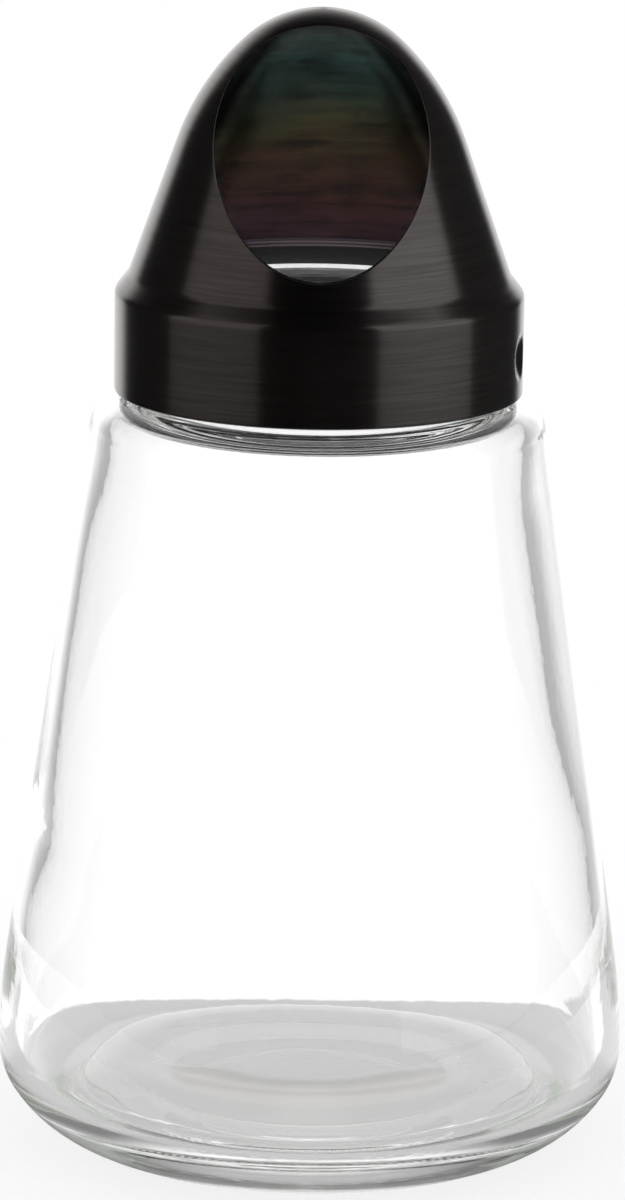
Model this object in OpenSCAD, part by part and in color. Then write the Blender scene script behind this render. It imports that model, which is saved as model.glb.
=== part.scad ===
// Snack dispenser jar: a tapered glass jar with a screw neck, and a domed steel
// cap whose round mouth lets the snacks slide out when the jar is tilted.
// Millimetres. +Z is up, the jar stands on z = 0 around the Z axis, and the mouth
// faces -Y.

/* [Jar body] */
// Widest diameter of the jar
belly_d = 85; // [80:0.5:92]
// Height at which the jar is widest
belly_h = 12.5; // [11:0.5:15]
// Radius of the long curve from the widest point into the straight flank
belly_r = 92; // [70:1:120]
// Diameter to which the flank would run at the height of the shoulder's crest
shoulder_d = 60.2; // [58.5:0.1:63]
// Radius of the rounded shoulder
shoulder_r = 6; // [5:0.25:7]
// Height of the whole glass jar, to the top of its lip
jar_h = 115.2; // [100:0.1:135]
// Thickness of the glass wall
wall_t = 3.2; // [2.2:0.1:3.8]

/* [Jar base] */
// Diameter of the ring that the jar stands on, at its outer edge
foot_d = 53.6; // [48:0.2:58]
// Width of that ring
foot_w = 1.6; // [1:0.1:3]
// Radius of the heel just under the widest point
heel_r = 8.5; // [7:0.25:10]
// Height of the hollow under the base
push_up = 2.5; // [1:0.1:3.5]
// Height of the inner floor at its edge
floor_t = 6.5; // [5:0.1:8]
// Rise of the inner floor at its middle
floor_crown = 1.5; // [0.5:0.1:2.5]

/* [Screw neck] */
// Height of the neck above the shoulder's crest
neck_h = 11.9; // [11.5:0.1:14]
// Diameter of the neck between its threads
neck_d = 48.4; // [47.8:0.1:48.6]
// Diameter of the hole in the neck
bore_d = 41.6; // [40:0.1:42.4]
// Radius of the corner where the shoulder meets the neck
neck_fillet = 0.6; // [0.3:0.1:0.8]
// Radius of the glass where the hollow narrows into the neck
throat_r = 3.5; // [2:0.25:4]
// Radius of the lip's outer edge
lip_outer_r = 0.5; // [0.2:0.1:0.8]
// Radius of the lip's inner edge
lip_inner_r = 0.8; // [0.3:0.1:1.2]

/* [Screw thread] */
// Rise of the thread in one turn
thread_pitch = 4.2; // [3.8:0.1:4.6]
// Height of the glass thread above the neck
thread_depth = 1.1; // [0.8:0.05:1.1]
// Width of a thread at its root
thread_root_w = 2; // [1.6:0.1:2.1]
// Width of a thread at its crest
thread_crest_w = 0.8; // [0.6:0.1:1]
// Turns of thread on the glass
glass_turns = 1.5; // [1:0.25:1.6]
// Turns of thread in the ring
ring_turns = 1.25; // [1:0.25:1.5]
// Gap between thread crests and the wall that they face
thread_gap = 0.25; // [0.2:0.05:0.3]
// Gap left between the flanks that pull the cap down
flank_gap = 0.3; // [0.2:0.05:0.4]
// Distance from the lip down to the middle of the glass thread's upper end
thread_drop = 2.4; // [2.2:0.1:2.6]

/* [Spout cap] */
// Thickness of the steel sheet
sheet_t = 0.6; // [0.5:0.05:0.7]
// Outer diameter of the collar
collar_d = 54.8; // [54.6:0.1:56]
// Height of the straight collar
collar_h = 13.4; // [13.2:0.1:14]
// Gap between the collar's lower edge and the shoulder's crest
skirt_gap = 0.3; // [0.3:0.1:1]
// Height of the dome above the straight collar
dome_h = 38; // [34:0.1:46]
// How far the dome's flank lies inside the collar at the collar's top
dome_step = 1; // [0.6:0.1:1.2]
// Slope of the band between collar and dome, from upright
band_angle = 38; // [34:1:44]
// Radius of the collar's upper corner
corner_r = 1.5; // [1:0.1:2]
// Radius of the hollow corner where the band runs into the dome
hollow_r = 3; // [2:0.25:3.5]
// Radius of the dome's round tip
nose_r = 15.2; // [13:0.1:16]
// Elevation at which the tip hands over to the cheek
nose_angle = 47; // [42:1:52]
// Radius of the cheek between tip and straight flank
cheek_r = 34; // [28:0.5:40]

/* [Mouth] */
// Diameter of the round punch that cuts the mouth
mouth_d = 28.4; // [22:0.1:29]
// Distance from the dome's top down to the punch's axis, on the jar's axis
mouth_drop = 14.9; // [14.6:0.1:18]
// Rise of the punch's axis towards the back
mouth_tilt = 7.8; // [0:0.1:10]
// Distance in front of the jar's axis at which the punch stops
punch_stop = 0.5; // [0.25:0.25:1]

/* [Locking dents] */
// Diameter of each dent in the collar
dent_d = 6; // [4:0.1:7]
// Depth of each dent
dent_depth = 0.8; // [0.5:0.05:0.8]
// Height of the dents above the collar's lower edge
dent_h = 5.7; // [4.5:0.1:8]
// Direction of the first dent, turned from the mouth towards +X
dent_angle = 79; // [60:1:120]
// Number of dents round the collar
dent_count = 2; // [2:1:4]

/* [Thread ring] */
// Gap between the ring and the steel around it
ring_fit = 0.05; // [0.03:0.01:0.1]
// Gap between the ring's lower edge and the collar's
ring_recess = 0.8; // [0.5:0.1:1.5]
// Inner diameter of the flange that holds the seal
flange_d = 47.2; // [46:0.1:47.4]
// Thickness of that flange
flange_t = 2.2; // [1.5:0.1:2.3]

/* [Sealing ring] */
// Thickness of the seal
seal_t = 1; // [0.8:0.1:1.2]
// Inner diameter of the seal
seal_d = 40.4; // [39:0.1:41]
// Gap between the seal and the ring around it
seal_gap = 0.3; // [0.2:0.05:0.4]

/* [Hidden] */
$fn = 120;
arc_step = 6;
thread_steps = 48;
thread_run_out = 5;
thread_root_sink = 0.4;
thread_end_height = 0.12;

belly_rad = belly_d / 2;
foot_rad = foot_d / 2;
neck_rad = neck_d / 2;
bore_rad = bore_d / 2;
collar_rad = collar_d / 2;
crest_z = jar_h - neck_h;
collar_z = crest_z + skirt_gap;
collar_top = collar_z + collar_h;
dome_top = collar_top + dome_h;
seal_top = jar_h + seal_t;
ring_z = collar_z + ring_recess;
ring_bore_rad = neck_rad + thread_depth + thread_gap;
ring_crest_rad = neck_rad + thread_gap;
seal_rad = ring_bore_rad - seal_gap;
glass_thread_top = jar_h - thread_drop;
glass_thread_z = glass_thread_top - glass_turns * thread_pitch;

// The ring's thread lies under the glass thread. The two flanks that meet slope
// alike, so the threads' middles lie one mean width apart, less what the crest gap
// lets them close up, and the flank gap. The ring's thread starts a root width
// above the ring's lower edge, at the turn where its helix has risen that far.
mean_w = (thread_root_w + thread_crest_w) / 2;
flank_slope = (thread_root_w - thread_crest_w) / 2 / thread_depth;
thread_shift = mean_w - flank_slope * thread_gap + flank_gap;
ring_thread_z = ring_z + thread_root_w;
ring_thread_turn = 360 * (ring_thread_z - glass_thread_z + thread_shift) / thread_pitch;

// The point at angle a on the circle of radius r about c.
function on_circle(c, r, a) = [max(0, c[0] + r * cos(a)), c[1] + r * sin(a)];

// The arc from angle a0 to angle a1 about c, in steps of about arc_step degrees.
function arc(c, r, a0, a1) =
    let (n = max(2, ceil(abs(a1 - a0) / arc_step)))
    [for (i = [0:n]) on_circle(c, r, a0 + (a1 - a0) * i / n)];

// The meeting point of two lines, each given by the angle of its normal and its
// distance from the origin along that normal.
function meet(a, p, b, q) =
    [(p * sin(b) - q * sin(a)) / sin(b - a), (q * cos(a) - p * cos(b)) / sin(b - a)];

// The angle of the normal of the line through point p that touches the circle of
// radius r about c. side is -1 to touch it below the way to p, and 1 above it.
function tangent_angle(p, c, r, side) =
    let (v = p - c)
    atan2(v[1], v[0]) + side * acos(r / norm(v));

// The distance from the origin of a line through p with its normal at angle a.
function line_reach(p, a) = p[0] * cos(a) + p[1] * sin(a);

// The points of a shallow crown that rises by h from radius r, height z, to the axis.
function crown(r, z, h) =
    let (big = (r * r + h * h) / (2 * h), half = asin(r / big), n = ceil(half / 2) + 1)
    [for (i = [0:n]) [big * sin(half * (1 - i / n)), z + h - big * (1 - cos(half * (1 - i / n)))]];

function reversed(list) = [for (i = [len(list) - 1:-1:0]) list[i]];

// Outline of the jar
belly_c = [belly_rad - belly_r, belly_h];
flank_a = tangent_angle([shoulder_d / 2, crest_z], belly_c, belly_r, -1);
flank_reach = line_reach([shoulder_d / 2, crest_z], flank_a);
shoulder_c = meet(flank_a, flank_reach - shoulder_r, 90, crest_z - shoulder_r);
heel_c = [belly_rad - heel_r, belly_h];
heel_gap = heel_c[0] - foot_rad;
sole_r = (heel_gap * heel_gap + belly_h * belly_h - heel_r * heel_r) / (2 * (belly_h - heel_r));
sole_c = [foot_rad, sole_r];
heel_a = atan2(heel_c[1] - sole_c[1], heel_c[0] - sole_c[0]);

inner_shoulder_r = shoulder_r - wall_t;
inner_crest_z = crest_z - wall_t;
inner_shoulder_c = meet(flank_a, flank_reach - shoulder_r, 90, inner_crest_z - inner_shoulder_r);
inner_heel_r = belly_h - floor_t;
inner_heel_c = [belly_rad - wall_t - inner_heel_r, belly_h];

function jar_outside() = concat(
    reversed(crown(foot_rad - foot_w, 0, push_up)),
    arc(sole_c, sole_r, -90, heel_a),
    arc(heel_c, heel_r, heel_a, 0),
    arc(belly_c, belly_r, 0, flank_a),
    arc(shoulder_c, shoulder_r, flank_a, 90),
    arc([neck_rad + neck_fillet, crest_z + neck_fillet], neck_fillet, -90, -180),
    arc([neck_rad - lip_outer_r, jar_h - lip_outer_r], lip_outer_r, 0, 90));

function jar_inside() = concat(
    arc([bore_rad + lip_inner_r, jar_h - lip_inner_r], lip_inner_r, 90, 180),
    arc([bore_rad + throat_r, inner_crest_z + throat_r], throat_r, 180, 270),
    arc(inner_shoulder_c, inner_shoulder_r, 90, flank_a),
    arc(belly_c, belly_r - wall_t, flank_a, 0),
    arc(inner_heel_c, inner_heel_r, 0, -90),
    crown(inner_heel_c[0], floor_t, floor_crown));

// Outline of the cap's sheet, lying inset inside its outer face
nose_c = [0, dome_top - nose_r];
cheek_c = nose_c - (cheek_r - nose_r) * [cos(nose_angle), sin(nose_angle)];
dome_foot = [collar_rad - dome_step, collar_top];
dome_a = tangent_angle(dome_foot, cheek_c, cheek_r, 1);
dome_reach = line_reach(dome_foot, dome_a);
band_reach = line_reach([collar_rad, collar_top], band_angle);
corner_c = meet(0, collar_rad - corner_r, band_angle, band_reach - corner_r);
hollow_c = meet(dome_a, dome_reach + hollow_r, band_angle, band_reach + hollow_r);

function cap_outline(inset) = concat(
    [[collar_rad - inset, collar_z]],
    arc(corner_c, corner_r - inset, 0, band_angle),
    arc(hollow_c, hollow_r + inset, 180 + band_angle, 180 + dome_a),
    arc(cheek_c, cheek_r - inset, dome_a, nose_angle),
    arc(nose_c, nose_r - inset, nose_angle, 90));

// One thread: a trapezoid swept up a right-hand helix. Its root lies at root_rad,
// sunk into the wall behind it, and its crest at crest_rad. It runs out at both ends.
module thread(root_rad, crest_rad, z, turns) {
    n = round(turns * thread_steps);
    away = sign(root_rad - crest_rad);
    sunk_rad = root_rad + away * thread_root_sink;
    flare = flank_slope * thread_root_sink;
    sections = [for (i = [0:n])
        let (
            a = 360 * i / thread_steps,
            rise = z + thread_pitch * i / thread_steps,
            full = min(1, thread_end_height + min(i, n - i) / thread_run_out),
            tip_rad = root_rad + (crest_rad - root_rad) * full,
            tip_w = thread_root_w + (thread_crest_w - thread_root_w) * full,
            sunk_w = thread_root_w + 2 * flare
        )
        [for (p = [[sunk_rad, -sunk_w], [tip_rad, -tip_w], [tip_rad, tip_w], [sunk_rad, sunk_w]])
            [p[0] * cos(a), p[0] * sin(a), rise + p[1] / 2]]];
    sides = [for (i = [0:n - 1], k = [0:3])
        let (a = 4 * i + k, b = 4 * i + (k + 1) % 4)
        each [[a, b + 4, b], [a, a + 4, b + 4]]];
    ends = [[0, 1, 2], [0, 2, 3], [4 * n + 2, 4 * n + 1, 4 * n], [4 * n + 3, 4 * n + 2, 4 * n]];
    faces = concat(sides, ends);
    polyhedron(
        [for (s = sections, p = s) p],
        away > 0 ? faces : [for (f = faces) reversed(f)]);
}

// A ball at each dent's centre, with the given amount more radius.
module dent_balls(more) {
    ball_r = (pow(dent_d / 2, 2) + dent_depth * dent_depth) / (2 * dent_depth);
    for (i = [0:dent_count - 1])
        rotate(dent_angle - 90 + 360 * i / dent_count)
            translate([collar_rad - dent_depth + ball_r, 0, collar_z + dent_h])
                sphere(r = ball_r + more);
}

module glass_jar() {
    color([0.86, 0.92, 0.9, 0.45]) union() {
        rotate_extrude() polygon(concat(jar_outside(), jar_inside()));
        thread(neck_rad, neck_rad + thread_depth, glass_thread_z, glass_turns);
    }
}

module spout_cap() {
    color([0.13, 0.12, 0.12]) difference() {
        union() {
            rotate_extrude() polygon(concat(cap_outline(0), reversed(cap_outline(sheet_t))));
            intersection() {
                dent_balls(sheet_t);
                translate([0, 0, collar_z]) cylinder(r = collar_rad - sheet_t / 2, h = collar_h);
            }
        }
        dent_balls(0);
        translate([0, 0, dome_top - mouth_drop])
            rotate([90 + mouth_tilt, 0, 0])
                translate([0, 0, punch_stop])
                    cylinder(d = mouth_d, h = collar_d);
    }
}

module thread_ring() {
    color([0.06, 0.06, 0.06]) difference() {
        union() {
            rotate_extrude() difference() {
                intersection() {
                    polygon(concat([[0, collar_z]], cap_outline(sheet_t + ring_fit)));
                    translate([0, ring_z]) square([collar_rad, seal_top + flange_t - ring_z]);
                }
                square([ring_bore_rad, seal_top]);
                square([flange_d / 2, dome_top]);
            }
            rotate(ring_thread_turn)
                thread(ring_bore_rad, ring_crest_rad, ring_thread_z, ring_turns);
        }
        dent_balls(sheet_t + ring_fit);
    }
}

module sealing_ring() {
    color([0.93, 0.93, 0.91]) translate([0, 0, jar_h]) difference() {
        cylinder(r = seal_rad, h = seal_t);
        translate([0, 0, -seal_t]) cylinder(d = seal_d, h = 3 * seal_t);
    }
}

glass_jar();
spout_cap();
thread_ring();
sealing_ring();
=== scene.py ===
"""Snack dispenser jar: a tapered glass jar with a screw neck, and a domed cap of dark
brushed steel with a round mouth. Shapes are worked out in millimetres, +Z up, with the
mouth facing -Y, and written to the meshes in metres."""
import math

import bpy
import numpy as np
from mathutils import Matrix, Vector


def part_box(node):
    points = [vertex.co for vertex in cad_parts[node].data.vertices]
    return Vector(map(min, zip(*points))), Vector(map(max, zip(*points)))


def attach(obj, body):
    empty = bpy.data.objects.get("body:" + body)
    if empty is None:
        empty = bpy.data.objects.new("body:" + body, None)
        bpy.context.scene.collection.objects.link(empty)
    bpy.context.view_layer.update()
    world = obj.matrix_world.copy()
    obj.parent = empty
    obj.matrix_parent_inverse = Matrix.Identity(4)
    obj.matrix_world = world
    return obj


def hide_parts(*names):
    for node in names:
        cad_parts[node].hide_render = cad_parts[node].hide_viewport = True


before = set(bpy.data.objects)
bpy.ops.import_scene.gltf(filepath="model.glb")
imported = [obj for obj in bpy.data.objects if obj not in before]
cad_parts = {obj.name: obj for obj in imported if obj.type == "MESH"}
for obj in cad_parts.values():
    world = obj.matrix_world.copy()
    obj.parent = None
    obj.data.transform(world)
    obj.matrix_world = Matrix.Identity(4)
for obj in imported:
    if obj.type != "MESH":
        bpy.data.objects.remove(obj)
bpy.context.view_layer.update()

MM = 0.001


def box_mm(node):
    """The lowest and highest corner of a node of the frame, in millimetres."""
    low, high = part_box(node)
    return np.round(np.array(low) / MM, 1), np.round(np.array(high) / MM, 1)


jar_high = box_mm("glass_jar")[1]
cap_low, cap_high = box_mm("spout_cap")
ring_low, ring_high = box_mm("thread_ring")
seal_low, seal_high = box_mm("sealing_ring")

# Jar body
BELLY_RAD = jar_high[1]
BELLY_H = 12.5
BELLY_R = 92
SHOULDER_RAD = 30.1
SHOULDER_R = 6
JAR_TOP = jar_high[2]
WALL_T = 3.2

# Jar base, with a raised middle inside
FOOT_RAD = 26.8
FOOT_W = 1.6
HEEL_R = 8.5
PUSH_UP = 2
HOLLOW_TOP_RAD = 8
PLATEAU_RAD = 31.4
PLATEAU_EASE = 9
PLATEAU_H = 3

# Rows of grip dots under the base, on a ring with rows close enough to carry them
DOT_RING = (30.8, 33)
DOT_COUNT = 168
DOT_ROWS = (31.4, 32.4)
DOT_RAD = 0.32
DOT_H = 0.06

# Screw neck and thread
NECK_RAD = 24.2
BORE_RAD = 20.8
CREST_Z = 103.3
NECK_FILLET = 0.6
THROAT_R = 3.5
LIP_OUTER_R = 0.5
LIP_INNER_R = 0.8
THREAD_PITCH = 4.2
THREAD_DEPTH = 1.1
THREAD_ROOT_W = 2
THREAD_CREST_W = 0.8
GLASS_TURNS = 1.5
RING_TURNS = 1.25
THREAD_GAP = 0.25
FLANK_GAP = 0.3
THREAD_DROP = 2.4
GLASS_THREAD_Z = JAR_TOP - THREAD_DROP - GLASS_TURNS * THREAD_PITCH
THREAD_RUN_OUT = 40

# Cap of steel sheet
SHEET_T = 0.6
COLLAR_RAD = 27.4
COLLAR_Z = cap_low[2]
COLLAR_TOP = COLLAR_Z + 13.4
DOME_TOP = cap_high[2]
DOME_STEP = 1
BAND_ANGLE = 38
CORNER_R = 1.5
HOLLOW_R = 3
NOSE_R = 15.2
NOSE_ANGLE = 47
CHEEK_R = 34
EDGE_R = 0.15

# Bead round the inside, where collar and dome meet
BEAD_H = 0.1
BEAD_TOP = 119.35

# Mouth
MOUTH_RAD = 14.2
MOUTH_Z = DOME_TOP - 14.9
MOUTH_TILT = 7.8
PUNCH_STOP = 0.5

# Locking dents
DENT_RAD = 3
DENT_DEPTH = 0.8
DENT_Z = COLLAR_Z + 5.7
DENT_TURNS = (-11, 169)

# Thread ring and sealing ring
RING_FIT = 0.05
FLANGE_RAD = 23.6
SEAL_IN_RAD = 20.2
SEAL_GAP = 0.3
SEAL_LIFT = 0.03


def arc(centre, radius, start, end, count):
    """Points centre + radius * (cos a, sin a), for count angles a from start to end in degrees."""
    a = np.radians(np.linspace(start, end, count))
    return np.column_stack((centre[0] + radius * np.cos(a), centre[1] + radius * np.sin(a)))


def line(start, end, count):
    """count points evenly from start to end, both ends left out."""
    share = np.linspace(0, 1, count + 2)[1:-1, None]
    return np.asarray(start) * (1 - share) + np.asarray(end) * share


def meet(a, reach_a, b, reach_b):
    """The point where two lines meet. Each has a normal's angle in degrees and its distance from the
    origin."""
    a, b = math.radians(a), math.radians(b)
    return np.array([
        (reach_a * math.sin(b) - reach_b * math.sin(a)) / math.sin(b - a),
        (reach_b * math.cos(a) - reach_a * math.cos(b)) / math.sin(b - a),
    ])


def tangent_angle(point, centre, radius, side):
    """The normal's angle, in degrees, of the line through point that touches the circle below (-1) or above
    (1) that point."""
    away = np.subtract(point, centre)
    return math.degrees(math.atan2(away[1], away[0]) + side * math.acos(radius / np.hypot(*away)))


def reach(point, angle):
    """The distance from the origin of the line through point whose normal has this angle in degrees."""
    return point[0] * math.cos(math.radians(angle)) + point[1] * math.sin(math.radians(angle))


def fade(value, start, end):
    """0 at start and 1 at end, with the smooth step 3 s^2 - 2 s^3 between them."""
    s = np.clip((value - start) / (end - start), 0, 1)
    return s * s * (3 - 2 * s)


def around(count):
    """count even turns about Z in radians, the first at -Y."""
    return np.arange(count) * 2 * np.pi / count - np.pi / 2


def lathe(profile, turns):
    """Turns a profile of (radius, height) points about Z: point (r cos t, r sin t, z) for each turn t."""
    r, z = profile[:, :1], profile[:, 1:]
    return np.stack((r * np.cos(turns), r * np.sin(turns), z + 0 * turns), axis=-1)


def normals_of(profile):
    """Unit normals of a profile, to the right of its direction of travel."""
    along = np.gradient(profile, axis=0)
    across = np.column_stack((along[:, 1], -along[:, 0]))
    return across / np.linalg.norm(across, axis=1, keepdims=True)


def helix_ridge(z, turns, start_z, start_turn, count):
    """Height from 0 to 1 of a right-hand thread at heights z and turns about the axis.

    The ridge's middle climbs THREAD_PITCH a turn from start_z. Its section is a trapezoid, 1 within half the
    crest width and 0 past half the root width, with its corners eased, and it fades out at both ends."""
    phase = (turns - start_turn) / (2 * np.pi) % 1
    height = np.zeros(np.broadcast(z, turns).shape)
    for lap in range(math.ceil(count)):
        laps = phase + lap
        off = np.abs(z - start_z - THREAD_PITCH * laps)
        ridge = fade(-off, -THREAD_ROOT_W / 2 - 0.05, -THREAD_CREST_W / 2 + 0.1)
        ends = np.minimum(laps, count - laps) * 360 / THREAD_RUN_OUT
        height = np.maximum(height, ridge * fade(ends, 0, 1))
    return height


def dents(z, turns):
    """Depth of the pressed dents: a ball's cap, with its rim eased by a soft maximum with zero."""
    ball_r = (DENT_RAD ** 2 + DENT_DEPTH ** 2) / (2 * DENT_DEPTH)
    ease = 0.07
    depth = 0
    for turn in DENT_TURNS:
        aside = (turns - math.radians(turn) + np.pi) % (2 * np.pi) - np.pi
        off = np.minimum(np.hypot(aside * COLLAR_RAD, z - DENT_Z), ball_r)
        cap = np.sqrt(ball_r ** 2 - off ** 2) - (ball_r - DENT_DEPTH)
        depth = depth + ease * np.logaddexp(0, cap / ease)
    return depth


def join(first, a, second, b):
    """Faces between a ring of a points from index first and the next ring of b points from index second.

    Equal rings are joined by four-sided faces, a ring and a pole by a fan, and a ring to one of three
    times its points by two triangles and a four-sided face each."""
    if a == b:
        j, k = np.arange(a), (np.arange(a) + 1) % a
        return [np.column_stack((first + j, first + k, second + k, second + j))]
    if a == 1:
        j, k = np.arange(b), (np.arange(b) + 1) % b
        return [np.column_stack((first + 0 * j, second + k, second + j))]
    if b == 1:
        j, k = np.arange(a), (np.arange(a) + 1) % a
        return [np.column_stack((first + j, first + k, second + 0 * j))]
    if b == 3 * a:
        j, k = np.arange(a), (np.arange(a) + 1) % a
        left, right, next_left = second + 3 * j + 1, second + 3 * j + 2, second + 3 * k
        return [
            np.column_stack((first + j, left, second + 3 * j)),
            np.column_stack((first + j, first + k, right, left)),
            np.column_stack((first + k, next_left, right)),
        ]
    j, k = np.arange(b), (np.arange(b) + 1) % b
    left, right, next_left = first + 3 * j + 1, first + 3 * j + 2, first + 3 * k
    return [
        np.column_stack((first + 3 * j, left, second + j)),
        np.column_stack((left, right, second + k, second + j)),
        np.column_stack((right, next_left, second + k)),
    ]


def skin(name, rings, closed, finishes, finish_of=None):
    """A piece whose surface runs through a list of rings of points, joined in turn.

    closed joins the last ring to the first. finishes are its materials, and finish_of gives, for each
    gap between rings, which of them its faces take."""
    sizes = np.array([len(ring) for ring in rings])
    starts = np.concatenate(([0], np.cumsum(sizes)))
    gaps = len(rings) if closed else len(rings) - 1
    faces, marks = [], []
    for i in range(gaps):
        n = (i + 1) % len(rings)
        made = join(starts[i], sizes[i], starts[n], sizes[n])
        faces += made
        marks += [np.full(len(f), 0 if finish_of is None else finish_of[i]) for f in made]
    corners = np.concatenate([f.ravel() for f in faces])
    counts = np.concatenate([np.full(len(f), f.shape[1]) for f in faces])
    mesh = bpy.data.meshes.new(name)
    mesh.vertices.add(starts[-1])
    mesh.vertices.foreach_set("co", (np.concatenate(rings) * MM).ravel())
    mesh.loops.add(len(corners))
    mesh.loops.foreach_set("vertex_index", corners.astype(np.int32))
    mesh.polygons.add(len(counts))
    mesh.polygons.foreach_set("loop_start", (np.cumsum(counts) - counts).astype(np.int32))
    mesh.polygons.foreach_set("material_index", np.concatenate(marks).astype(np.int32))
    mesh.update(calc_edges=True)
    mesh.shade_smooth()
    for finish in finishes:
        mesh.materials.append(finish)
    piece = bpy.data.objects.new(name, mesh)
    bpy.context.scene.collection.objects.link(piece)
    return piece


class Wire:
    """An output socket. Python's operators on it add Math nodes."""

    def __init__(self, board, socket):
        self.board, self.socket = board, socket

    def maths(self, operation, *values):
        return self.board.add("ShaderNodeMath", {"operation": operation}, dict(enumerate(values)))

    def __add__(self, other):
        return self.maths("ADD", self, other)

    def __radd__(self, other):
        return self.maths("ADD", other, self)

    def __sub__(self, other):
        return self.maths("SUBTRACT", self, other)

    def __rsub__(self, other):
        return self.maths("SUBTRACT", other, self)

    def __mul__(self, other):
        return self.maths("MULTIPLY", self, other)

    def __rmul__(self, other):
        return self.maths("MULTIPLY", other, self)

    def __truediv__(self, other):
        return self.maths("DIVIDE", self, other)

    def __pow__(self, other):
        return self.maths("POWER", self, other)

    def above(self, limit):
        return self.maths("GREATER_THAN", self, limit)


class Board:
    """The nodes of one material, or of the world."""

    def __init__(self, tree):
        self.tree = tree
        tree.nodes.clear()

    def add(self, kind, settings=None, sockets=None, output=0):
        """Adds a node of any kind: its settings first, then the values or links of its sockets."""
        node = self.tree.nodes.new(kind)
        for name, value in (settings or {}).items():
            if name == "stops":
                ramp = node.color_ramp
                while len(ramp.elements) < len(value):
                    ramp.elements.new(0.5)
                for element, (position, colour) in zip(ramp.elements, value):
                    element.position, element.color = position, (*colour, 1)
            else:
                setattr(node, name, value)
        for name, value in (sockets or {}).items():
            if isinstance(value, Wire):
                self.tree.links.new(value.socket, node.inputs[name])
            else:
                node.inputs[name].default_value = value
        return Wire(self, node.outputs[output]) if len(node.outputs) else None

    def mixed(self, share, first, second):
        """The colour between first (share 0) and second (share 1)."""
        return self.add("ShaderNodeMix", {"data_type": "RGBA"}, {0: share, 6: first, 7: second}, output=2)

    def eased(self, value, start, end):
        """0 at start and 1 at end, with a smooth step between them."""
        return self.add(
            "ShaderNodeMapRange", {"interpolation_type": "SMOOTHSTEP"}, {0: value, 1: start, 2: end})

    def parts(self, vector):
        """The x, y and z of a vector."""
        return [self.add("ShaderNodeSeparateXYZ", None, {0: vector}, output=k) for k in range(3)]

    def place(self):
        """The x, y and z of the shaded point, in metres."""
        return self.parts(self.add("ShaderNodeTexCoord", output="Object"))

    def path(self, output):
        """What Light Path tells of the ray."""
        return self.add("ShaderNodeLightPath", output=output)


def grey(level):
    """An even grey as a colour."""
    return (level, level, level, 1)


def span(x, y):
    """The distance (x^2 + y^2)^0.5."""
    return (x * x + y * y) ** 0.5


def material(name):
    """A new material and the board of its nodes."""
    made = bpy.data.materials.new(name)
    made.use_nodes = True
    return made, Board(made.node_tree)


def circular_grain(board, along, across):
    """Noise drawn out round the axis, as a belt leaves it. along and across are the sizes of its features,
    in metres."""
    x, y, z = board.place()
    spot = board.add("ShaderNodeCombineXYZ", None, {0: x / along, 1: y / along, 2: z / across})
    return board.add(
        "ShaderNodeTexNoise", {"noise_dimensions": "4D"},
        {"Vector": spot, "W": span(x, y) / across, "Scale": 1, "Detail": 3, "Roughness": 0.6})


def brushed_steel():
    """Black coated steel, brushed round the axis: its grain shades the colour, the gloss and the normal."""
    made, board = material("brushed_dark_steel")
    fine = circular_grain(board, 12 * MM, 0.3 * MM)
    broad = circular_grain(board, 20 * MM, 0.7 * MM)
    grain = fine * 0.7 + broad * 0.3
    lines = board.eased(grain, 0.3, 0.7)
    colour = board.mixed(lines, (0.1, 0.089, 0.084, 1), (0.152, 0.137, 0.131, 1))
    normal = board.add("ShaderNodeBump", None, {"Strength": 0.12, "Distance": 0.00003, "Height": fine})
    shader = board.add("ShaderNodeBsdfPrincipled", None, {
        "Base Color": colour, "Metallic": 1, "Roughness": 0.19 + grain * 0.09, "Anisotropic": 0.82,
        "Anisotropic Rotation": 0.25, "Normal": normal})
    board.add("ShaderNodeOutputMaterial", None, {"Surface": shader})
    return made


# Colours of the coating inside the dome, by height in millimetres
INSIDE_TINTS = (
    (117, (0.034, 0.019, 0.027)),
    (125.7, (0.038, 0.019, 0.018)),
    (131.8, (0.044, 0.028, 0.017)),
    (136.5, (0.046, 0.044, 0.024)),
    (143, (0.021, 0.038, 0.033)),
    (147, (0.034, 0.068, 0.06)),
    (155, (0.08, 0.09, 0.08)),
)


def rainbow_steel():
    """The coating inside the dome, which changes colour with height and is smudged and worn in streaks."""
    made, board = material("rainbow_steel_inside")
    z = board.place()[2]
    low, high = INSIDE_TINTS[0][0], INSIDE_TINTS[-1][0]
    drift = circular_grain(board, 12 * MM, 4 * MM) - 0.5
    share = (z / MM - low) / (high - low) + drift * 0.4
    stops = [((height - low) / (high - low), tint) for height, tint in INSIDE_TINTS]
    tint = board.add("ShaderNodeValToRGB", {"stops": stops}, {0: share})
    grain = circular_grain(board, 20 * MM, 0.9 * MM)
    smudge = circular_grain(board, 5 * MM, 2.2 * MM)
    worn = board.eased(grain, 0.4, 0.65) * 0.35 + board.eased(smudge, 0.42, 0.66) * 0.45
    colour = board.mixed(worn, tint, grey(0.01))
    shader = board.add("ShaderNodeBsdfPrincipled", None, {
        "Base Color": colour, "Metallic": 1, "Roughness": 0.2 + grain * 0.1, "Anisotropic": 0.7,
        "Anisotropic Rotation": 0.25})
    board.add("ShaderNodeOutputMaterial", None, {"Surface": shader})
    return made


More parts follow.
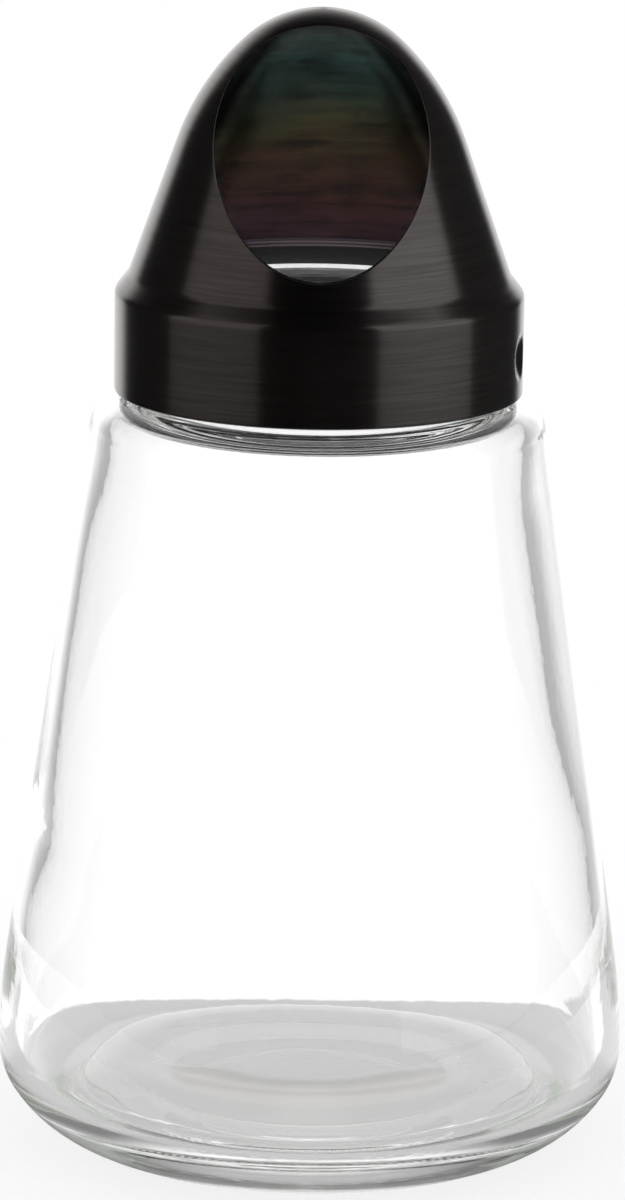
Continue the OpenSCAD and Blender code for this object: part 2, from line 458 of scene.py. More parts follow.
def painted_highlight_band():
    """Rough ring inside, over the bead where collar and dome meet, with a painted highlight: lightest along
    its middle.
    """
    made, board = material("inside_band_painted_highlight")
    z = board.place()[2]
    speck = board.add("ShaderNodeTexNoise", None, {"Scale": 400, "Detail": 2})
    # Painted highlight: the colour is lightest between these heights, standing in for the light that the
    # bead catches
    low_side = board.eased(z, (BEAD_TOP - 1.25) * MM, (BEAD_TOP - 0.9) * MM)
    share = low_side * board.eased(z, (BEAD_TOP - 0.1) * MM, (BEAD_TOP - 0.55) * MM) * (0.8 + speck * 0.4)
    shader = board.add("ShaderNodeBsdfPrincipled", None, {
        "Base Color": board.mixed(share, (0.03, 0.025, 0.03, 1), (0.46, 0.36, 0.4, 1)), "Metallic": 0.3,
        "Roughness": 0.55 + speck * 0.1})
    board.add("ShaderNodeOutputMaterial", None, {"Surface": shader})
    return made


def cut_steel():
    """The sheared edge of the sheet, brighter than its coated faces."""
    made, board = material("cut_steel_edge")
    speck = board.add("ShaderNodeTexNoise", None, {"Scale": 3000, "Detail": 2})
    shader = board.add("ShaderNodeBsdfPrincipled", None, {
        "Base Color": board.mixed(speck, grey(0.2), grey(0.34)), "Metallic": 1,
        "Roughness": 0.28 + speck * 0.2})
    board.add("ShaderNodeOutputMaterial", None, {"Surface": shader})
    return made


def clear_glass():
    """Clear soda glass that greens a little in its depth. Lamps shine through it, a little dimmed."""
    made, board = material("clear_glass")
    ripple = board.add("ShaderNodeTexNoise", None, {"Scale": 70, "Detail": 0})
    normal = board.add("ShaderNodeBump", None, {"Strength": 0.02, "Distance": 0.0002, "Height": ripple})
    glass = board.add("ShaderNodeBsdfPrincipled", None, {
        "Base Color": (1, 1, 1, 1), "Roughness": 0, "IOR": 1.52, "Transmission Weight": 1, "Normal": normal})
    opened = board.add("ShaderNodeBsdfTransparent", None, {"Color": (0.8, 0.82, 0.81, 1)})
    surface = board.add("ShaderNodeMixShader", None, {0: board.path("Is Shadow Ray"), 1: glass, 2: opened})
    depth = board.add("ShaderNodeVolumeAbsorption", None, {"Color": (0.69, 0.76, 0.64, 1), "Density": 1.2})
    board.add("ShaderNodeOutputMaterial", None, {"Surface": surface, "Volume": depth})
    return made


def black_moulding():
    """Black moulded plastic with a fine satin texture."""
    made, board = material("black_moulded_plastic")
    skin_noise = board.add("ShaderNodeTexNoise", None, {"Scale": 2200, "Detail": 2})
    normal = board.add("ShaderNodeBump", None, {"Strength": 0.25, "Distance": 0.00003, "Height": skin_noise})
    shader = board.add("ShaderNodeBsdfPrincipled", None, {
        "Base Color": board.mixed(skin_noise, grey(0.004), grey(0.008)),
        "Roughness": 0.4 + skin_noise * 0.16, "Specular IOR Level": 0.25, "Normal": normal})
    board.add("ShaderNodeOutputMaterial", None, {"Surface": shader})
    return made


def milky_seal():
    """Milky sealing rubber through which the light of the glass below shows, with painted shade darkening
    its inner edge.
    """
    made, board = material("milky_seal_rubber")
    cloud = board.add("ShaderNodeTexNoise", None, {"Scale": 300, "Detail": 2})
    x, y, _ = board.place()
    # Painted shade: the inner edge's colour is darkened to near black, standing in for shade along the inner
    # rim
    edge = board.eased(span(x, y), (SEAL_IN_RAD + 0.7) * MM, (SEAL_IN_RAD + 0.3) * MM)
    milk = board.mixed(cloud, (0.88, 0.89, 0.88, 1), (0.96, 0.96, 0.95, 1))
    shader = board.add("ShaderNodeBsdfPrincipled", None, {
        "Base Color": board.mixed(edge * 0.95, milk, grey(0.035)),
        "Roughness": 0.3 + cloud * 0.1, "IOR": 1.41, "Transmission Weight": 0.4, "Subsurface Weight": 1,
        "Subsurface Radius": (1, 1, 0.95), "Subsurface Scale": 0.0006})
    board.add("ShaderNodeOutputMaterial", None, {"Surface": shader})
    return made


# Thickness of the glass wall on the -X and +X sides, as (height, thickness), and the heights over which its
# swell fades out below and above
LEFT_WALL = ((20, 2.8), (31, 2.7), (40, 3.35), (49, 3), (69, 2.6), (84, 2.8), (92, 3.4), (102, 3.4))
RIGHT_WALL = ((20, 2.9), (34, 2.6), (43, 2.7), (52, 3.5), (60, 3.9), (70, 4), (88, 3.9), (102, 3.5))
SWELL_LOW = (17, 30)
SWELL_HIGH = (101, 88)
SWELL_WAVE = 0.15


def eased_list(z, pairs):
    """A smooth line through (height, value) pairs: a cubic between each two, with slopes from their
    neighbours."""
    at, value = np.array(pairs).T
    slope = np.gradient(value, at)
    i = np.clip(np.searchsorted(at, z) - 1, 0, len(at) - 2)
    width = at[i + 1] - at[i]
    s = np.clip((z - at[i]) / width, 0, 1)
    return (
        value[i] * (1 + 2 * s) * (1 - s) ** 2 + value[i + 1] * s * s * (3 - 2 * s)
        + width * slope[i] * s * (1 - s) ** 2 + width * slope[i + 1] * s * s * (s - 1)
    )


def wall_swell(z, turns):
    """How much thicker than WALL_T the pressed wall is: its two sides' own lines, blended round the jar by
    the square of the cosine, over a slow swell at front and back."""
    side = np.cos(turns)
    left, right = eased_list(z, LEFT_WALL), eased_list(z, RIGHT_WALL)
    middle = WALL_T + SWELL_WAVE * np.sin(z / 9) * np.sin(2 * turns + z / 30)
    thick = np.where(side < 0, left, right) * side ** 2 + middle * (1 - side ** 2)
    return (thick - WALL_T) * fade(z, *SWELL_LOW) * fade(z, *SWELL_HIGH)


def glass_jar(finish):
    """The jar as one closed skin, from the middle of its underside out and up to the lip and down inside.

    Its profile is turned about Z: a smooth step for the hollow, arcs that touch each other for foot, heel,
    belly and shoulder, and inside the same arcs less the wall, down to a quarter ellipse whose top is the
    raised floor. The neck's rows are pushed out by the thread, the foot's rows down by the grip dots on a
    ring with three times the points, and the inner wall's rows in by its swell."""
    coarse, fine = around(288), around(864)
    belly_c = (BELLY_RAD - BELLY_R, BELLY_H)
    flank_a = tangent_angle((SHOULDER_RAD, CREST_Z), belly_c, BELLY_R, -1)
    flank_reach = reach((SHOULDER_RAD, CREST_Z), flank_a)
    shoulder_c = meet(flank_a, flank_reach - SHOULDER_R, 90, CREST_Z - SHOULDER_R)
    heel_c = np.array((BELLY_RAD - HEEL_R, BELLY_H))
    gap = heel_c[0] - FOOT_RAD
    sole_r = (gap ** 2 + BELLY_H ** 2 - HEEL_R ** 2) / (2 * (BELLY_H - HEEL_R))
    heel_a = math.degrees(math.atan2(BELLY_H - sole_r, gap))
    dots_a = [math.degrees(math.asin((r - FOOT_RAD) / sole_r)) - 90 for r in DOT_RING]

    hollow_r = np.append(0, np.linspace(HOLLOW_TOP_RAD, (FOOT_RAD - FOOT_W) * 0.99, 27))
    hollow = np.column_stack((hollow_r, PUSH_UP * fade(hollow_r, FOOT_RAD - FOOT_W, HOLLOW_TOP_RAD)))
    under = np.vstack((hollow, arc((FOOT_RAD, sole_r), sole_r, -90, dots_a[0], 7)))
    foot = arc((FOOT_RAD, sole_r), sole_r, *dots_a, 14)[1:]
    sole = arc((FOOT_RAD, sole_r), sole_r, dots_a[1], heel_a, 10)[1:]
    heel = arc(heel_c, HEEL_R, heel_a, 0, 14)[1:]
    belly = arc(belly_c, BELLY_R, 0, flank_a, 12)[1:]
    shoulder = arc(shoulder_c, SHOULDER_R, flank_a, 90, 16)
    flank = line(belly[-1], shoulder[0], 24)
    fillet = arc((NECK_RAD + NECK_FILLET, CREST_Z + NECK_FILLET), NECK_FILLET, -90, -180, 5)
    lip_out = arc((NECK_RAD - LIP_OUTER_R, JAR_TOP - LIP_OUTER_R), LIP_OUTER_R, 0, 90, 6)
    crest = line(shoulder[-1], fillet[0], 3)
    neck = line(fillet[-1], lip_out[0], 42)
    outer = np.vstack((sole, heel, belly, flank, shoulder, crest, fillet, neck, lip_out))

    inner_shoulder_r = SHOULDER_R - WALL_T
    inner_crest = CREST_Z - WALL_T
    inner_shoulder_c = meet(flank_a, flank_reach - SHOULDER_R, 90, inner_crest - inner_shoulder_r)
    lip_in = arc((BORE_RAD + LIP_INNER_R, JAR_TOP - LIP_INNER_R), LIP_INNER_R, 90, 180, 7)
    throat = arc((BORE_RAD + THROAT_R, inner_crest + THROAT_R), THROAT_R, 180, 270, 9)
    in_shoulder = arc(inner_shoulder_c, inner_shoulder_r, 90, flank_a, 10)
    in_belly = arc(belly_c, BELLY_R - WALL_T, flank_a, 0, 10)
    in_heel = arc(heel_c, HEEL_R - WALL_T, 0, -90, 20)[1:]
    low_z = in_heel[-1, 1]
    groove = line(in_heel[-1], (PLATEAU_RAD + 0.1, low_z), 3)
    edge = arc((0, 0), 1, 0, 90, 24) * (PLATEAU_EASE, PLATEAU_H) + (PLATEAU_RAD - PLATEAU_EASE, low_z)
    middle_of_floor = (0, low_z + PLATEAU_H)
    floor = np.vstack((groove, edge, line(edge[-1], middle_of_floor, 8), middle_of_floor))
    inner = np.vstack((
        lip_in, line(lip_in[-1], throat[0], 6), throat, line(throat[-1], in_shoulder[0], 2), in_shoulder,
        line(in_shoulder[-1], in_belly[0], 36), in_belly, in_heel, floor))

    dotted = lathe(foot, fine)
    step = 2 * np.pi / DOT_COUNT
    for k, row in enumerate(DOT_ROWS):
        aside = ((fine + step * (k % 2) / 2) % step - step / 2) * row
        off = np.hypot(foot[:, :1] - row, aside[None, :])
        dotted[..., 2] -= DOT_H * np.clip(1 - (off / DOT_RAD) ** 2, 0, 1) ** 1.5

    out = lathe(outer, coarse)
    on_neck = (outer[:, 1] > CREST_Z + NECK_FILLET - 0.01) & (outer[:, 0] > NECK_RAD - 0.01)
    ridge = helix_ridge(outer[on_neck, 1:], coarse[None, :], GLASS_THREAD_Z, 0, GLASS_TURNS)
    out[on_neck] *= np.stack((1 + ridge * THREAD_DEPTH / NECK_RAD,) * 2 + (np.ones_like(ridge),), axis=-1)

    inside = lathe(inner, coarse)
    push = wall_swell(inner[:, 1:], coarse[None, :]) * (inner[:, :1] > BORE_RAD + THROAT_R)
    toward = normals_of(inner)
    inside[..., 0] += push * toward[:, :1] * np.cos(coarse)
    inside[..., 1] += push * toward[:, :1] * np.sin(coarse)
    inside[..., 2] += push * toward[:, 1:]

    middle = lathe(under[1:], coarse)
    rings = [lathe(under[:1], coarse)[0, :1], *middle, *dotted, *out, *inside[:-1], inside[-1, :1]]
    return skin("glass_jar_body", rings, False, [finish])


def cap_outline(inset):
    """The cap's profile from the collar's lower edge to the tip, lying inset inside its outer face.

    It returns the corner, hollow, cheek and nose arcs, between which the profile is straight."""
    nose_c = np.array((0, DOME_TOP - NOSE_R))
    turn = math.radians(NOSE_ANGLE)
    cheek_c = nose_c - (CHEEK_R - NOSE_R) * np.array((math.cos(turn), math.sin(turn)))
    foot = (COLLAR_RAD - DOME_STEP, COLLAR_TOP)
    dome_a = tangent_angle(foot, cheek_c, CHEEK_R, 1)
    dome_reach = reach(foot, dome_a)
    band_reach = reach((COLLAR_RAD, COLLAR_TOP), BAND_ANGLE)
    corner_c = meet(0, COLLAR_RAD - CORNER_R, BAND_ANGLE, band_reach - CORNER_R)
    hollow_c = meet(dome_a, dome_reach + HOLLOW_R, BAND_ANGLE, band_reach + HOLLOW_R)
    return (
        arc(corner_c, CORNER_R - inset, 0, BAND_ANGLE, 7),
        arc(hollow_c, HOLLOW_R + inset, 180 + BAND_ANGLE, 180 + dome_a, 14),
        arc(cheek_c, CHEEK_R - inset, dome_a, NOSE_ANGLE, 200),
        arc(nose_c, NOSE_R - inset, NOSE_ANGLE, 90, 200),
    )


class Dome:
    """The dome above the hollow, seen from a centre on the axis: each direction meets it once.

    A direction is a point of a flat map, whose distance from the map's middle is the angle from +Z and
    whose turn is the turn about Z."""

    CENTRE_Z = 128

    def __init__(self, inset):
        _, hollow, cheek, nose = cap_outline(inset)
        outline = np.vstack((hollow[-1:], line(hollow[-1], cheek[0], 60), cheek, nose))[::-1]
        away = outline - (0, self.CENTRE_Z)
        self.tilts, self.reaches = np.arctan2(away[:, 0], away[:, 1]), np.hypot(*away.T)
        self.last_tilt = self.tilts[-1]

    def points(self, flat):
        """The dome's points in the directions that the flat map's points give."""
        tilt, turn = np.hypot(flat[..., 0], flat[..., 1]), np.arctan2(flat[..., 1], flat[..., 0])
        far = np.interp(tilt, self.tilts, self.reaches)
        return np.stack((
            far * np.sin(tilt) * np.cos(turn), far * np.sin(tilt) * np.sin(turn),
            self.CENTRE_Z + far * np.cos(tilt)), axis=-1)

    def flat(self, points):
        """Where points lie on the flat map."""
        side = np.hypot(points[..., 0], points[..., 1])
        tilt = np.arctan2(side, points[..., 2] - self.CENTRE_Z)
        return points[..., :2] * (tilt / side)[..., None]

    def rim(self, turns, radius):
        """Where the punch's side, at each turn round its axis, leaves the dome: found by halving."""
        low, high = np.full(turns.shape, PUNCH_STOP), np.full(turns.shape, 60.0)
        for _ in range(45):
            half = (low + high) / 2
            at = punch_side(turns, radius, half)
            side = np.hypot(at[:, 0], at[:, 1])
            up = at[:, 2] - self.CENTRE_Z
            outside = np.hypot(side, up) > np.interp(np.arctan2(side, up), self.tilts, self.reaches)
            low, high = np.where(outside, low, half), np.where(outside, half, high)
        return punch_side(turns, radius, low)

    def spread(self, turns, rim, shares):
        """Rings of points from the rim (share 0) to the dome's lower edge (share 1), straight on the map."""
        near, far = self.flat(rim), self.last_tilt * np.column_stack((np.cos(turns), np.sin(turns)))
        shares = shares[..., None] if shares.ndim == 2 else shares[:, None, None]
        return self.points(near * (1 - shares) + far * shares)


def punch_side(turns, radius, ahead):
    """Points on the round punch's side: radius from its axis at each turn, and ahead along it to the
    front."""
    tilt = math.radians(MOUTH_TILT)
    across, lift = radius * np.cos(turns), radius * np.sin(turns)
    return np.column_stack((
        across,
        -lift * math.sin(tilt) - ahead * math.cos(tilt),
        MOUTH_Z + lift * math.cos(tilt) - ahead * math.sin(tilt)))


def rounded_edge(before, corner, after, count):
    """Rings round an edge: the curve (1-s)^2 before + 2 s (1-s) corner + s^2 after, for shares s."""
    s = np.linspace(0, 1, count)[:, None, None]
    return before * (1 - s) ** 2 + corner * 2 * s * (1 - s) + after * s * s


def spout_cap(outside, inside, edge, band):
    """The steel cap as one closed skin: up collar and dome to the mouth's rim, over the cut and down inside.

    Collar, band and hollow are a turned profile, pushed in by the dents. Above them the rings pass from
    a circle round the axis to the mouth's rim, which is where a round punch leaves the dome."""
    even = around(384)
    crowd = 0.5
    turns = even - crowd / 2 * np.sin(2 * (even - math.radians(DENT_TURNS[0])))
    near_edge = 0.14

    def collar(inset, heights):
        """Collar, band and hollow, with rows at these heights on the collar."""
        corner, hollow = cap_outline(inset)[:2]
        rows = np.column_stack((np.full(len(heights), COLLAR_RAD - inset), heights))
        if inset:
            height = (hollow[:, 1] - hollow[0, 1]) / (hollow[-1, 1] - hollow[0, 1])
            hollow = hollow - [1, 0] * (BEAD_H * np.sin(np.pi * height[:, None]) ** 2)
        profile = np.vstack((rows, corner, line(corner[-1], hollow[0], 3), hollow))
        made = lathe(profile, turns)
        pressed = dents(profile[:, 1:], turns[None, :])
        made[..., :2] *= (1 - pressed / profile[:, :1])[..., None]
        return made

    def wall_rings(dome, rim, ahead_of_rim):
        """Rings of the dome from its lower edge to the rounded rim, and the rim's rounding start."""
        probe = 0.02
        start, after = dome.spread(turns, rim, np.array([0, probe]))
        first = near_edge * probe / np.linalg.norm(start - after, axis=1)
        shares = np.linspace(1, 0, ahead_of_rim)[:, None] * (1 - first) + first
        return dome.spread(turns, rim, shares)

    outer_dome, inner_dome = Dome(0), Dome(SHEET_T)
    outer_rim, inner_rim = outer_dome.rim(turns, MOUTH_RAD), inner_dome.rim(turns, MOUTH_RAD)
    outer_rows = wall_rings(outer_dome, outer_rim, 74)
    inner_rows = wall_rings(inner_dome, inner_rim, 60)
    cut = inner_rim - outer_rim
    depth = np.linalg.norm(cut, axis=1, keepdims=True)
    outer_cut, inner_cut = outer_rim + cut * near_edge / depth, inner_rim - cut * near_edge / depth
    heights = np.concatenate((
        np.linspace(COLLAR_Z + EDGE_R, DENT_Z - 3.6, 5), np.linspace(DENT_Z - 3.3, DENT_Z + 3.3, 23),
        np.linspace(DENT_Z + 3.6, COLLAR_TOP - 1, 5)))
    outer_collar = collar(0, heights)
    inner_collar = collar(SHEET_T, heights[::2])[::-1]
    inner_band, inner_collar = inner_collar[:14], inner_collar[14:]
    low_out = lathe(arc((COLLAR_RAD - EDGE_R, COLLAR_Z + EDGE_R), EDGE_R, -90, -15, 4), turns)
    low_in = lathe(arc((COLLAR_RAD - SHEET_T + EDGE_R, COLLAR_Z + EDGE_R), EDGE_R, 195, 270, 4), turns)
    outer_round = rounded_edge(outer_rows[-1], outer_rim, outer_cut, 5)[1:]
    inner_round = rounded_edge(inner_cut, inner_rim, inner_rows[-1], 5)
    # The inner band's rows, mark 3, take the painted highlight material
    groups = (
        (low_out, 2), (outer_collar, 0), (outer_rows[1:], 0), (outer_round, 2), (inner_round, 2),
        (inner_rows[::-1][1:-1], 1), (inner_band, 3), (inner_collar, 1), (low_in, 2))
    rings = [ring for rows, _ in groups for ring in rows]
    marks = [mark for rows, mark in groups for _ in rows]
    return skin("spout_cap_shell", rings, True, [outside, inside, edge, band], marks)


def thread_ring(finish):
    """The plastic ring inside the collar: a turned profile whose bore is pushed in by its thread, and whose
    outside gives way to the dents. It runs up the outside, in over the flange, and down the bore."""
    turns = around(288)
    corner, hollow = cap_outline(SHEET_T + RING_FIT)[:2]
    outline = np.vstack((corner, line(corner[-1], hollow[0], 6), hollow))
    bottom, top = ring_low[2], ring_high[2]
    top_rad = np.interp(top, outline[:, 1], outline[:, 0])
    bore = NECK_RAD + THREAD_DEPTH + THREAD_GAP
    shelf = seal_high[2]
    ease, bevel = 0.25, 0.1
    out_rad = COLLAR_RAD - SHEET_T - RING_FIT
    outside = np.vstack((
        arc((out_rad - ease, bottom + ease), ease, -90, 0, 5),
        line((out_rad, bottom), (out_rad, corner[0, 1]), 24),
        outline[outline[:, 1] < top - ease]))
    over = np.vstack((
        (top_rad - bevel, top - bevel), (top_rad - 3 * bevel, top),
        arc((FLANGE_RAD + ease, top - ease), ease, 90, 180, 6),
        arc((FLANGE_RAD + ease, shelf + ease), ease, 180, 270, 6)))
    low_bore = np.vstack((
        (bore - bevel, shelf), line((bore, shelf), (bore, bottom + ease), 48),
        arc((bore + ease, bottom + ease), ease, 180, 270, 5)))
    body = lathe(np.vstack((outside, over)), turns)
    pressed = dents(outside[:, 1:], turns[None, :])
    body[:len(outside), :, :2] *= (1 - pressed / outside[:, :1])[..., None]
    inner = lathe(low_bore, turns)
    mean_w = (THREAD_ROOT_W + THREAD_CREST_W) / 2
    slope = (THREAD_ROOT_W - THREAD_CREST_W) / 2 / THREAD_DEPTH
    shift = mean_w - slope * THREAD_GAP + FLANK_GAP
    start_z = bottom + THREAD_ROOT_W
    start_turn = 2 * np.pi * (start_z - GLASS_THREAD_Z + shift) / THREAD_PITCH
    ridge = helix_ridge(low_bore[:, 1:], turns[None, :], start_z, start_turn, RING_TURNS)
    inner[..., :2] *= (1 - ridge * THREAD_DEPTH / low_bore[:, :1])[..., None]
    return skin("thread_ring_moulding", [*body, *inner], True, [finish])


def sealing_ring(finish):
    """The flat seal on the lip: a turned profile with rounded edges."""
    low, high = seal_low[2] + SEAL_LIFT, seal_high[2]
    outer = NECK_RAD + THREAD_DEPTH + THREAD_GAP - SEAL_GAP
    ease = 0.2
    profile = np.vstack((
        arc((outer - ease, low + ease), ease, -90, 0, 5),
        arc((outer - ease, high - ease), ease, 0, 90, 5),
        line((outer - ease, high), (SEAL_IN_RAD + ease, high), 12),
        arc((SEAL_IN_RAD + ease, high - ease), ease, 90, 180, 6),
        arc((SEAL_IN_RAD + ease, low + ease), ease, 180, 270, 6)))
    return skin("sealing_ring_flat", list(lathe(profile, around(240))), True, [finish])


# White board that the jar stands on. Through the glass it is light grey as far as these edges.
FLOOR_RAD = 160
FLOOR_Z = -0.02
BOARD_BACK = 47.8
BOARD_TURN = 0.1
BOARD_FRONT = 55
BOARD_SIDE = 70
BOARD_EDGE = 3
BOARD_GREY = 0.62
SHADED_RAD = 60

# How much of the board is plain and not shaded: to the camera near the jar, through the glass, in mirrors
PLAIN_SEEN = 0.8
PLAIN_THROUGH = 0.75
PLAIN_MIRRORED = 0.9

# What mirror rays meet of the board: plain white behind the jar, painted light under its middle, and painted
# shade at its sides
FAR_SIDE = (5, 30)
OFF_CENTRE = (10, 30)
UNDER_JAR = 0.8
DIM_MIDDLE = 0.15
DIM_SIDES = 0.9
DIM_GREY = 0.3

# A painted crescent of shade, with painted lighter streaks, on the board under the jar's base: its colours
# by the share of CRESCENT_REACH from a centre at the back, inside a circle round a centre further forward
CRESCENT_BACK = 25.5
CRESCENT_REACH = 42
CRESCENT_FRONT = 5
CRESCENT_EDGE = (20.5, 19)
CRESCENT_STOPS = (
    (0.54, (1, 1, 1)),
    (0.6, (0.6, 0.58, 0.55)),
    (0.66, (0.7, 0.68, 0.64)),
    (0.72, (0.95, 0.91, 0.86)),
    (0.77, (0.74, 0.7, 0.66)),
    (0.83, (1, 0.97, 0.94)),
    (0.95, (1.04, 1.03, 1.02)),
)

# The room, as mirror reflections see it: a white wall behind, which fades between these angles in degrees
BACKDROP = 1.15
AMBIENT = 0.85
DARK_ROOM = 0.02
DARK_SIDES = 0.05
DARK_LEAN = 0.02
WALL_TURN = 5.5
WALL_SIDES = (38, 25)
WALL_TOP = (42, 12)

# The room, as rays see it that were reflected inside the glass
WALLS_PASSED = 4
HEEL_WALLS = 2
THROUGH_GLASS = 0.47
BENT_LIGHT = 0.64
HEEL_DROP = 0.24
AHEAD_SIDES = (40, 8)
AHEAD_TOP = (25, 10)
HEEL_RISE = (6, 18)

# Lamps: turn from the front in degrees, width in metres, watts and colour
SOFTBOX_RISE = 0.48
SOFTBOX_FAR = 0.7
SOFTBOX_H = 1.04
LEFT_SOFTBOX = (-61.5, 0.76, 0.85, (1, 0.95, 0.92))
RIGHT_SOFTBOX = (63, 0.81, 1.8, (0.96, 0.99, 1.01))
SPOT_AIM = (0, 0.012, 0.117)
SPOT_RISE = 46
SPOT_FAR = 0.8
SPOT_POWER = 60
SPOT_CONE = 5

# Camera, in metres and degrees
CAMERA_AT = (0, -0.887, 0.2851)
CAMERA_PITCH = 13.363
CAMERA_YAW = 0.0247
CAMERA_ROLL = 0.791
CAMERA_LENS = 202.3
LIGHT_BOUNCES = 400


def cosines(degrees):
    """The cosine of each angle."""
    return [math.cos(math.radians(angle)) for angle in degrees]


def sines(degrees):
    """The sine of each angle."""
    return [math.sin(math.radians(angle)) for angle in degrees]


def shown_as_background(board):
    """What brought a ray here, each 0 or 1: the camera, sight through the glass, a mirror reflection deep in
    the glass on the way, or the lighting of a matt surface."""
    lit = board.path("Diffuse Depth").above(0.5)
    bent = board.path("Glossy Depth").above(0.5) * board.path("Transmission Depth").above(WALLS_PASSED + 0.5)
    return board.path("Is Camera Ray"), board.path("Is Transmission Ray") * (1 - lit), bent, lit


def studio():
    """A white room for camera rays and straight through the glass. Mirror reflections meet a white wall
    behind the object and a dark room elsewhere, and matt surfaces are lit evenly.

    Rays that were reflected inside the glass meet white ahead, less to the sides and above, and least where
    they leave upwards beside the heel. Those that were bent through the base meet one even level."""
    world = bpy.data.worlds.new("studio")
    bpy.context.scene.world = world
    world.use_nodes = True
    world.cycles.sampling_method = "NONE"
    board = Board(world.node_tree)
    seen, through, bent, lit = shown_as_background(board)
    x, y, z = board.parts(board.add("ShaderNodeTexCoord", output="Generated"))
    tiny = 0.0001
    flat = (x * x + y * y + tiny) ** 0.5

    aside = math.radians(WALL_TURN)
    to_wall = (y * math.cos(aside) - x * math.sin(aside)) / flat
    wall = board.eased(to_wall, *cosines(WALL_SIDES)) * board.eased(z, *sines(WALL_TOP))
    dark = DARK_ROOM + x * x * DARK_SIDES + x * DARK_LEAN
    mirrored = dark + wall * (BACKDROP - dark)

    ahead = board.eased(y / flat, *cosines(AHEAD_SIDES))
    bright = ahead * board.eased(z, *sines(AHEAD_TOP))
    shallow = 1 - board.path("Transmission Depth").above(HEEL_WALLS + 0.5)
    by_heel = (1 - ahead) * board.eased(z, *sines(HEEL_RISE)) * shallow
    reflected = board.path("Glossy Depth").above(0.5)
    level = THROUGH_GLASS - by_heel * HEEL_DROP
    glassy = BACKDROP - reflected * (1 - bright) * (BACKDROP - level)
    glassy = glassy + bent * (BENT_LIGHT - glassy)

    other = through * glassy + (1 - through) * (lit * AMBIENT + (1 - lit) * mirrored)
    background = board.add(
        "ShaderNodeBackground", None, {"Color": grey(1), "Strength": seen + (1 - seen) * other})
    board.add("ShaderNodeOutputWorld", None, {"Surface": background})


def pale_floor():
    """White matt board. The camera sees it mostly as plain white, over its own shading. Through the glass it
    is mostly plain light grey with a painted crescent of shade, and plain white past its edges."""
    made, board = material("pale_floor")
    seen, through, bent, _ = shown_as_background(board)
    x, y = [part / MM for part in board.place()[:2]]
    across = (x * x) ** 0.5
    open_floor = PLAIN_SEEN + board.eased(span(x, y), SHADED_RAD, FLOOR_RAD) * (1 - PLAIN_SEEN)

    behind = board.eased(y - x * BOARD_TURN, BOARD_BACK, BOARD_BACK + BOARD_EDGE)
    before = board.eased(y, -BOARD_FRONT, -BOARD_FRONT - BOARD_EDGE)
    aside = board.eased(across, BOARD_SIDE, BOARD_SIDE + BOARD_EDGE)
    beyond = (1 - (1 - behind) * (1 - before) * (1 - aside)) * (1 - bent)

    # Painted shade: a crescent of darker and lighter colour on the board, seen through the glass
    inside = board.eased(span(x, y - CRESCENT_FRONT), *CRESCENT_EDGE) * (1 - bent)
    crescent_painted_shade = board.add(
        "ShaderNodeValToRGB", {"stops": CRESCENT_STOPS}, {0: span(x, y - CRESCENT_BACK) / CRESCENT_REACH})

    mirrored = board.path("Is Glossy Ray") * (1 - through)
    far_side, off_centre = board.eased(y, *FAR_SIDE), board.eased(across, *OFF_CENTRE)
    # Painted light and shade in mirrors only: the board glows plain white under the jar, and its colour is
    # darkened to grey, most at its sides
    bright = mirrored * (far_side + (1 - far_side) * (1 - off_centre) * UNDER_JAR)
    mirror_painted_shade = mirrored * (DIM_MIDDLE + off_centre * (DIM_SIDES - DIM_MIDDLE))

    fibre = board.add("ShaderNodeTexNoise", None, {"Scale": 900, "Detail": 2})
    pale = board.mixed(fibre, grey(0.88), grey(0.92))
    matt = board.add("ShaderNodeBsdfDiffuse", None, {"Color": board.mixed(mirror_painted_shade, pale, grey(DIM_GREY))})
    level = seen + bright + through * (BOARD_GREY + beyond * (BACKDROP - BOARD_GREY))
    plain = board.add(
        "ShaderNodeEmission", None, {"Color": board.mixed(inside, grey(1), crescent_painted_shade), "Strength": level})
    plain_board = PLAIN_THROUGH + beyond * (1 - PLAIN_THROUGH)
    share = seen * open_floor + through * plain_board + bright * PLAIN_MIRRORED
    surface = board.add("ShaderNodeMixShader", None, {0: share, 1: matt, 2: plain})
    board.add("ShaderNodeOutputMaterial", None, {"Surface": surface})

    disc = np.column_stack((np.linspace(0, FLOOR_RAD, 12), np.full(12, FLOOR_Z)))[::-1]
    rings = list(lathe(disc, around(96)))
    rings[-1] = rings[-1][:1]
    skin("floor", rings, False, [made])


def hold(name, data, place):
    """Puts a lamp or a camera in the scene at a place, as a matrix."""
    holder = bpy.data.objects.new(name, data)
    holder.matrix_world = place
    bpy.context.scene.collection.objects.link(holder)
    return holder


def turned(degrees, axis):
    """The matrix of a turn about an axis."""
    return Matrix.Rotation(math.radians(degrees), 4, axis)


def moved(place):
    """The matrix of a move."""
    return Matrix.Translation(place)


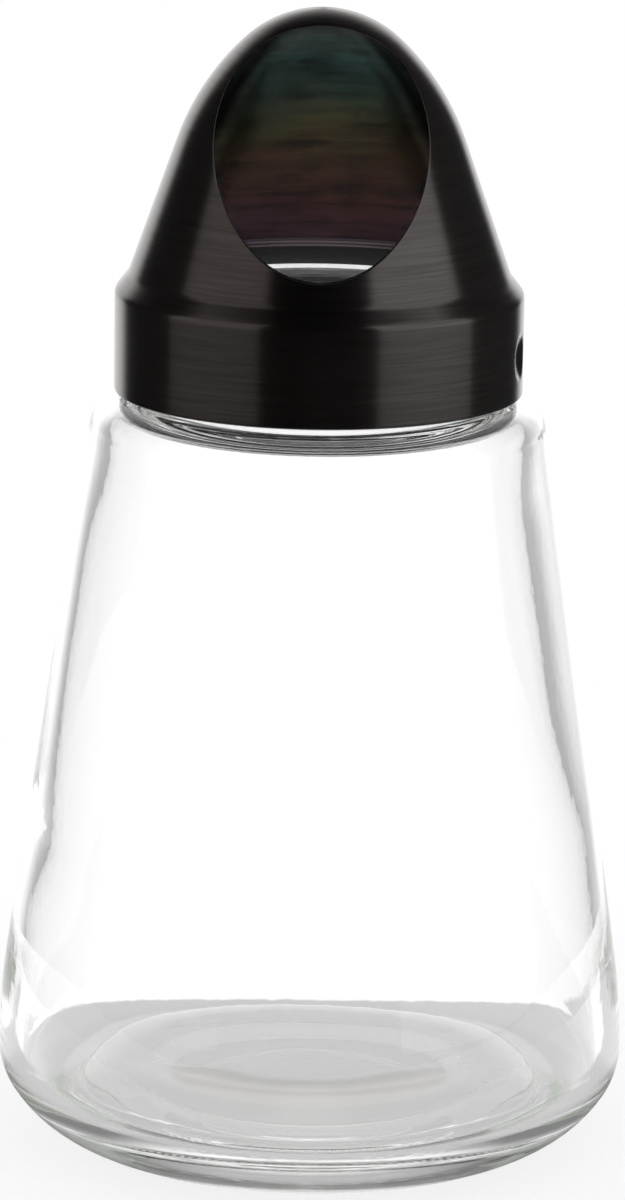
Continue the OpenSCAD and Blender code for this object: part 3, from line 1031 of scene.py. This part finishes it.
def softbox(name, turn, width, power, colour):
    """A soft area lamp at a turn from the front towards +X, facing the jar's axis."""
    lamp = bpy.data.lights.new(name, "AREA")
    lamp.shape = "RECTANGLE"
    lamp.size, lamp.size_y, lamp.energy, lamp.color = width, SOFTBOX_H, power, colour
    place = turned(turn, "Z") @ moved((0, -SOFTBOX_FAR, SOFTBOX_RISE)) @ turned(90, "X")
    holder = hold(name, lamp, place)
    holder.visible_camera = False
    holder.visible_transmission = False


def seal_spot():
    """A narrow spot through the mouth onto the seal, left out of mirror reflections."""
    lamp = bpy.data.lights.new("seal_spot", "SPOT")
    lamp.energy, lamp.spot_size = SPOT_POWER, math.radians(SPOT_CONE)
    lamp.spot_blend, lamp.shadow_soft_size = 0.5, 0.02
    place = moved(SPOT_AIM) @ turned(-SPOT_RISE, "X") @ moved((0, -SPOT_FAR, 0)) @ turned(90, "X")
    holder = hold("seal_spot", lamp, place)
    holder.visible_glossy = False
    holder.visible_camera = False


def camera():
    """The photograph's view: a long lens a little above the jar, tipped down and turned very slightly."""
    lens = bpy.data.cameras.new("camera")
    lens.lens = CAMERA_LENS
    lens.clip_start, lens.clip_end = 0.1, 10
    way = turned(CAMERA_YAW, "Z") @ turned(90 - CAMERA_PITCH, "X") @ turned(CAMERA_ROLL, "Z")
    bpy.context.scene.camera = hold("camera", lens, moved(CAMERA_AT) @ way)


bpy.context.scene.view_settings.view_transform = "Standard"
bpy.context.scene.cycles.max_bounces = LIGHT_BOUNCES
bpy.context.scene.cycles.glossy_bounces = LIGHT_BOUNCES
bpy.context.scene.cycles.transmission_bounces = LIGHT_BOUNCES
camera()
studio()
pale_floor()
softbox("softbox_left", *LEFT_SOFTBOX)
seal_spot()
softbox("softbox_right", *RIGHT_SOFTBOX)

for piece, body, node, slot in (
    (glass_jar(clear_glass()), "jar", "glass_jar", "clear_glass"),
    (spout_cap(brushed_steel(), rainbow_steel(), cut_steel(), painted_highlight_band()),
     "cap", "spout_cap", "dark_steel"),
    (thread_ring(black_moulding()), "cap", "thread_ring", "black_plastic"),
    (sealing_ring(milky_seal()), "seal", "sealing_ring", "white_seal"),
):
    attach(piece, body)
    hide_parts(node)
